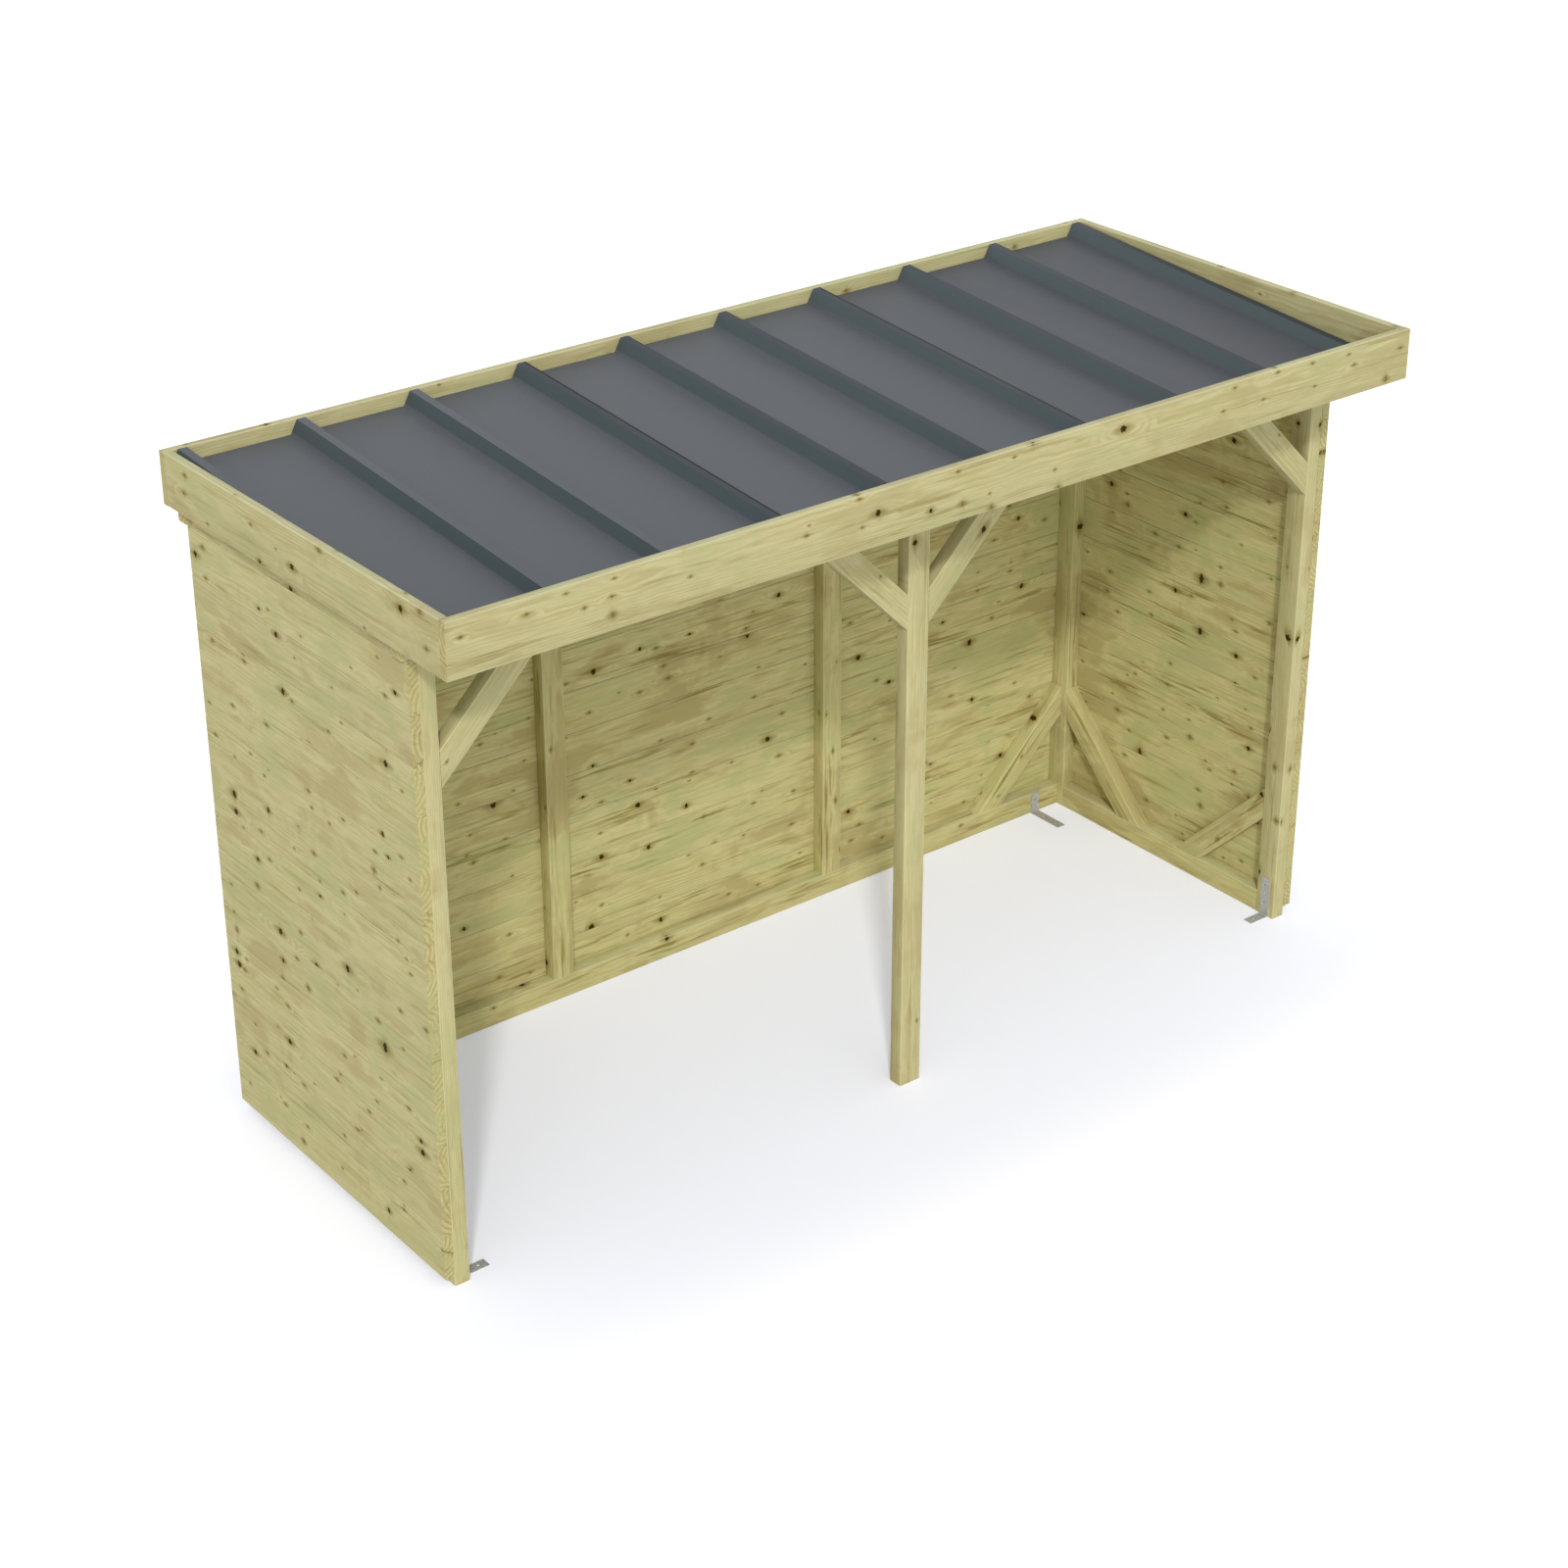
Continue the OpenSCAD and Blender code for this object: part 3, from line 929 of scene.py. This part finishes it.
def board_profile(name, middle, along, cover, thick):
    """The cross section of one board as a flat sheet: body, tongue, groove and chamfers."""
    size = bpy.context.scene.log_store_timber
    tongue = size.tongue
    height = cover - size.joint_gap
    groove = tongue + GROOVE_SPARE
    turn = (math.radians(90.0), 0.0, math.radians(90.0) if along.x else 0.0)
    bpy.ops.object.select_all(action="DESELECT")
    bpy.ops.mesh.primitive_plane_add(size=1.0, location=middle, rotation=turn)
    board = bpy.context.object
    mark(board, name)
    board.scale = (thick, height, 1.0)
    bpy.ops.object.transform_apply(location=True, rotation=True, scale=True)
    wide = Y if along.x else X
    middle = Vector(middle)
    centre = middle.dot(wide)
    low = middle.z - height / 2
    high = middle.z + height / 2
    bpy.ops.object.mode_set(mode="EDIT")
    for point, normal in (
        (middle + wide * tongue / 2, wide),
        (middle - wide * tongue / 2, wide),
        (Z * (low + groove), Z),
    ):
        bpy.ops.mesh.select_all(action="SELECT")
        bpy.ops.mesh.bisect(plane_co=point, plane_no=normal)
    pick(board, "faces", lambda face: abs(face.calc_center_median().dot(wide) - centre) < NEAR
         and face.calc_center_median().z < low + groove)
    bpy.ops.mesh.delete(type="FACE")
    pick(board, "edges", lambda edge: all(
        abs(v.co.z - high) < NEAR and abs(v.co.dot(wide) - centre) < tongue / 2 + NEAR
        for v in edge.verts))
    bpy.ops.mesh.extrude_region_move(TRANSFORM_OT_translate={"value": Z * tongue})
    pick(board, "verts", lambda v: abs(abs(v.co.dot(wide) - centre) - thick / 2) < NEAR
         and min(abs(v.co.z - low), abs(v.co.z - high)) < NEAR)
    bpy.ops.mesh.bevel(offset=size.joint_chamfer, segments=1, affect="VERTICES")
    bpy.ops.object.mode_set(mode="OBJECT")
    return board


def notch(piece, face, outward, under):
    """Cuts away the top corner of a board, past a beam's inner face and above its underside."""
    bpy.ops.object.mode_set(mode="EDIT")
    for point, normal in ((Y * face, Y), (Z * under, Z)):
        bpy.ops.mesh.select_all(action="SELECT")
        bpy.ops.mesh.bisect(plane_co=point, plane_no=normal)
    pick(piece, "faces", lambda f: (f.calc_center_median().y - face) * outward > 0
         and f.calc_center_median().z > under)
    bpy.ops.mesh.delete(type="FACE")
    for corner in (
        lambda v: abs(v.co.y - face) < NEAR and abs(v.co.z - under) < NEAR,
        lambda v: (v.co.y - face) * outward > -NEAR and abs(v.co.z - under) < NEAR,
        lambda v: abs(v.co.y - face) < NEAR and v.co.z > under - NEAR,
    ):
        pick(piece, "verts", corner)
        bpy.ops.mesh.edge_face_add()
    bpy.ops.mesh.select_all(action="SELECT")
    bpy.ops.mesh.normals_make_consistent(inside=False)
    bpy.ops.object.mode_set(mode="OBJECT")


def boarded_wall(node, along, name, seed, notches=()):
    """Boards up a wall: one is shaped and copied, and the top is ripped and notched to fit."""
    low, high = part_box(node)
    length = (high - low).dot(along)
    thick = (high - low).dot(Y if along.x else X)
    cover = bpy.context.scene.log_store_timber.board_cover
    start = (low + high) / 2 - along * length / 2
    start.z = low.z + cover / 2
    board = board_profile(name + "_01", start, along, cover, thick)
    bpy.ops.object.mode_set(mode="EDIT")
    bpy.ops.mesh.select_all(action="SELECT")
    bpy.ops.mesh.extrude_region_move(TRANSFORM_OT_translate={"value": along * length})
    bpy.ops.mesh.select_all(action="SELECT")
    bpy.ops.mesh.normals_make_consistent(inside=False)
    bpy.ops.object.mode_set(mode="OBJECT")
    boards = [board]
    for number in range(1, math.ceil((high.z - low.z) / cover)):
        choose(board)
        bpy.ops.object.duplicate(linked=False)
        copy = bpy.context.object
        mark(copy, f"{name}_{number + 1:02d}")
        bpy.ops.transform.translate(value=(0.0, 0.0, number * cover))
        bpy.ops.object.transform_apply(location=True, rotation=True, scale=True)
        boards.append(copy)
    for piece in boards[-2:]:
        saw(piece, high, Z)
    for corner in notches:
        notch(boards[-1], *corner)
    for number, piece in enumerate(boards):
        lay_grain(piece, along, Z, seed * 100 + number)
        fit(piece, [node], pine("boarding_pine"))


def cover_node(node, finish):
    """Gives a CAD node that stays in view its finish."""
    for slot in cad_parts[node].material_slots:
        slot.link = "OBJECT"
        slot.material = finish


# Stage

FLOOR_SIZE = 90.0

# Which way the lamps shine
SUN_WAY = Vector((0.74, 1.0, -1.0))
FILL_WAY = Vector((0.45, 1.0, -0.45))

# Where the camera stands, its turn, tilt and roll in degrees, and how its lens is shifted
CAMERA_PLACE = (-4.611, -5.755, 4.627)
CAMERA_TURNS = ((-38.081, "Z"), (64.193, "X"), (-0.129, "Z"))
CAMERA_SHIFT = (-0.0014, -0.0627)


def grey(level):
    """A neutral colour."""
    return (level, level, level, 1.0)


def studio_paper():
    """Pale paper that takes the shadows, and glows to the camera the more the farther out."""
    stage = bpy.context.scene.log_store_stage
    made, b, surface = new_material("studio_paper")
    seen = b.node("ShaderNodeLightPath").outputs["Is Camera Ray"]
    place = b.split(b.node("ShaderNodeTexCoord").outputs["Object"])
    beyond = [b.minus(b.maths("ABSOLUTE", place[i]), CAD_BOX[1][i]) for i in range(2)]
    away = b.fade(b.maths("MAXIMUM", *beyond), 0.0, stage.glow_reach)
    lit = b.blend(seen, grey(stage.floor), paint(stage.floor_tint))
    glow = b.blend(away, paint(stage.near_glow), grey(stage.open_glow))
    b.feed(surface.inputs["Base Color"], lit)
    b.feed(surface.inputs["Emission Color"], glow)
    b.feed(surface.inputs["Emission Strength"], seen)
    surface.inputs["Roughness"].default_value = 1.0
    surface.inputs["Specular IOR Level"].default_value = 0.0
    return made


def white_sky():
    """Even light all round, plain white to the camera and in reflections."""
    made = bpy.data.worlds.new("white_sky")
    made.use_nodes = True
    b = Bench(made.node_tree)
    ray = b.node("ShaderNodeLightPath").outputs
    plain = b.maths("MAXIMUM", ray["Is Camera Ray"], ray["Is Glossy Ray"])
    plain = b.maths("MAXIMUM", plain, ray["Is Transmission Ray"])
    level = b.node("ShaderNodeMapRange")
    sky = bpy.context.scene.log_store_stage.sky
    for socket, value in zip(level.inputs, (plain, 0.0, 1.0, sky, 1.0)):
        b.feed(socket, value)
    light = made.node_tree.nodes["Background"]
    light.inputs["Color"].default_value = grey(1.0)
    b.feed(light.inputs["Strength"], level.outputs[0])
    return made


def hang_sun(name, place, way, strength, size):
    """A sun that shines one way, its disc as wide as its shadows should be soft."""
    bpy.ops.object.light_add(type="SUN", location=place)
    lamp = bpy.context.object
    lamp.name = name
    lamp.data.energy = strength
    lamp.data.angle = size
    lamp.rotation_euler = way.to_track_quat("-Z", "Y").to_euler()


def set_camera():
    """The camera, at the front left and above the roof."""
    aim = Matrix.Identity(4)
    for degrees, axis in CAMERA_TURNS:
        aim = aim @ Matrix.Rotation(math.radians(degrees), 4, axis)
    bpy.ops.object.camera_add(location=CAMERA_PLACE, rotation=aim.to_euler())
    camera = bpy.context.object
    camera.name = "viewpoint"
    camera.data.lens = bpy.context.scene.log_store_stage.lens
    camera.data.sensor_width = 36.0
    camera.data.shift_x, camera.data.shift_y = CAMERA_SHIFT
    camera.data.clip_end = 300.0
    bpy.context.scene.camera = camera


# Operators


class LOGSTORE_OT_side_frames(bpy.types.Operator):
    """Make the posts, rails and braces of the two side walls"""

    bl_idname = "logstore.side_frames"
    bl_label = "Side wall frames"

    def execute(self, context):
        seed = context.scene.log_store_timber.seed * 1000
        for number, hand in enumerate(("left", "right")):
            base = seed + number * 20
            straight_timber(hand + "_front_post", Z, Y, base)
            straight_timber(hand + "_rear_post", Z, Y, base + 1)
            straight_timber(hand + "_bottom_rail", Y, Z, base + 2)
            straight_timber(hand + "_top_rail", Y, Z, base + 3)
            diagonal_brace(hand + "_front_brace", Y, 1.0, True, base + 4)
            diagonal_brace(hand + "_rear_brace", Y, -1.0, True, base + 5)
        return {"FINISHED"}


class LOGSTORE_OT_back_frame(bpy.types.Operator):
    """Make the rails, studs and braces of the back wall"""

    bl_idname = "logstore.back_frame"
    bl_label = "Back wall frame"

    def execute(self, context):
        seed = context.scene.log_store_timber.seed * 1000 + 100
        straight_timber("back_bottom_rail", X, Z, seed)
        straight_timber("back_top_rail", X, Z, seed + 1)
        straight_timber("back_left_stud", Z, X, seed + 2)
        straight_timber("back_right_stud", Z, X, seed + 3)
        diagonal_brace("back_left_brace", X, 1.0, True, seed + 4)
        diagonal_brace("back_right_brace", X, -1.0, True, seed + 5)
        return {"FINISHED"}


class LOGSTORE_OT_open_front(bpy.types.Operator):
    """Make the middle post and the knee braces of the open front"""

    bl_idname = "logstore.open_front"
    bl_label = "Open front"

    def execute(self, context):
        seed = context.scene.log_store_timber.seed * 1000 + 200
        straight_timber("middle_post", Z, X, seed)
        diagonal_brace("left_knee_brace", X, 1.0, False, seed + 1)
        diagonal_brace("middle_left_knee_brace", X, -1.0, False, seed + 2)
        diagonal_brace("middle_right_knee_brace", X, 1.0, False, seed + 3)
        diagonal_brace("right_knee_brace", X, -1.0, False, seed + 4)
        return {"FINISHED"}


class LOGSTORE_OT_beams(bpy.types.Operator):
    """Make the front and rear beams, their tops planed to the roof's fall"""

    bl_idname = "logstore.beams"
    bl_label = "Roof beams"

    def execute(self, context):
        seed = context.scene.log_store_timber.seed * 1000 + 300
        for number, node in enumerate(("front_beam", "rear_beam")):
            low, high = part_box(node)
            piece = sawn_block(node + "_timber", (low + high) / 2, high - low)
            saw(piece, high, ROOF_UP)
            ease_arrises(piece, X)
            lay_grain(piece, X, Z, seed + number)
            fit(piece, [node], pine("planed_pine"))
        return {"FINISHED"}


class LOGSTORE_OT_fascia(bpy.types.Operator):
    """Make the four boards of the level fascia"""

    bl_idname = "logstore.fascia"
    bl_label = "Fascia boards"

    def execute(self, context):
        seed = context.scene.log_store_timber.seed * 1000 + 400
        straight_timber("front_fascia", X, Z, seed, "fascia_pine")
        straight_timber("rear_fascia", X, Z, seed + 1, "fascia_pine")
        straight_timber("left_fascia", Y, Z, seed + 2, "fascia_pine")
        straight_timber("right_fascia", Y, Z, seed + 3, "fascia_pine")
        return {"FINISHED"}


class LOGSTORE_OT_boarding(bpy.types.Operator):
    """Board the three walls with tongue-and-groove boards"""

    bl_idname = "logstore.boarding"
    bl_label = "Wall boarding"

    def execute(self, context):
        seed = context.scene.log_store_timber.seed
        front_low, front_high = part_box("front_beam")
        rear_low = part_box("rear_beam")[0]
        notches = ((front_high.y, -1.0, front_low.z), (rear_low.y, 1.0, rear_low.z))
        boarded_wall("left_wall_boards", Y, "left_wall_board", seed + 1, notches)
        boarded_wall("right_wall_boards", Y, "right_wall_board", seed + 2, notches)
        boarded_wall("back_wall_boards", X, "back_wall_board", seed + 3)
        return {"FINISHED"}


class LOGSTORE_OT_roof_sheets(bpy.types.Operator):
    """Coat the ribbed roof sheets"""

    bl_idname = "logstore.roof_sheets"
    bl_label = "Roof sheets"

    def execute(self, context):
        coat = roof_coat()
        for hand in ("left", "middle", "right"):
            cover_node(hand + "_roof_sheet", coat)
        return {"FINISHED"}


class LOGSTORE_OT_brackets(bpy.types.Operator):
    """Galvanise the ground brackets"""

    bl_idname = "logstore.brackets"
    bl_label = "Ground brackets"

    def execute(self, context):
        zinc = zinc_finish()
        for place in ("front_left", "front_right", "rear_left", "rear_right"):
            cover_node(place + "_bracket", zinc)
        return {"FINISHED"}


class LOGSTORE_OT_stage(bpy.types.Operator):
    """Lay the floor, hang the lights and set up the camera"""

    bl_idname = "logstore.stage"
    bl_label = "Stage"

    def execute(self, context):
        stage = context.scene.log_store_stage
        bpy.ops.object.select_all(action="DESELECT")
        bpy.ops.mesh.primitive_plane_add(size=FLOOR_SIZE, location=(0.0, 0.0, 0.0))
        floor = context.object
        floor.name = "studio_floor"
        floor.data.materials.append(studio_paper())
        hang_sun("soft_sun", (-3.0, -4.0, 5.0), SUN_WAY, stage.sun, stage.sun_size)
        hang_sun("broad_fill", (0.0, -6.0, 4.0), FILL_WAY, stage.fill, stage.fill_size)
        context.scene.world = white_sky()
        set_camera()
        context.scene.view_settings.view_transform = "Standard"
        return {"FINISHED"}


class LOGSTORE_PT_tools(bpy.types.Panel):
    """The log store's pieces, in the order they go together"""

    bl_idname = "LOGSTORE_PT_tools"
    bl_label = "Log store"
    bl_space_type = "VIEW_3D"
    bl_region_type = "UI"
    bl_category = "Log store"

    def draw(self, context):
        for group in SETTINGS:
            box = self.layout.box()
            values = getattr(context.scene, group)
            for name in values.bl_rna.properties.keys():
                if name not in ("rna_type", "name"):
                    box.prop(values, name)
        for step in STEPS:
            self.layout.operator(step.bl_idname)


SETTINGS = {
    "log_store_timber": LogStoreTimber,
    "log_store_pine": LogStorePine,
    "log_store_metal": LogStoreMetal,
    "log_store_stage": LogStoreStage,
}
STEPS = (
    LOGSTORE_OT_side_frames,
    LOGSTORE_OT_back_frame,
    LOGSTORE_OT_open_front,
    LOGSTORE_OT_beams,
    LOGSTORE_OT_fascia,
    LOGSTORE_OT_boarding,
    LOGSTORE_OT_roof_sheets,
    LOGSTORE_OT_brackets,
    LOGSTORE_OT_stage,
)


def register():
    """Registers the settings, the operators and the panel."""
    for name, group in SETTINGS.items():
        bpy.utils.register_class(group)
        setattr(bpy.types.Scene, name, PointerProperty(type=group))
    for step in STEPS:
        bpy.utils.register_class(step)
    bpy.utils.register_class(LOGSTORE_PT_tools)


def unregister():
    """Takes them away again."""
    bpy.utils.unregister_class(LOGSTORE_PT_tools)
    for step in reversed(STEPS):
        bpy.utils.unregister_class(step)
    for name, group in SETTINGS.items():
        delattr(bpy.types.Scene, name)
        bpy.utils.unregister_class(group)


def main():
    """Builds the store."""
    register()
    bpy.ops.logstore.side_frames()
    bpy.ops.logstore.back_frame()
    bpy.ops.logstore.open_front()
    bpy.ops.logstore.beams()
    bpy.ops.logstore.fascia()
    bpy.ops.logstore.boarding()
    bpy.ops.logstore.roof_sheets()
    bpy.ops.logstore.brackets()
    bpy.ops.logstore.stage()


if __name__ == "__main__":
    main()
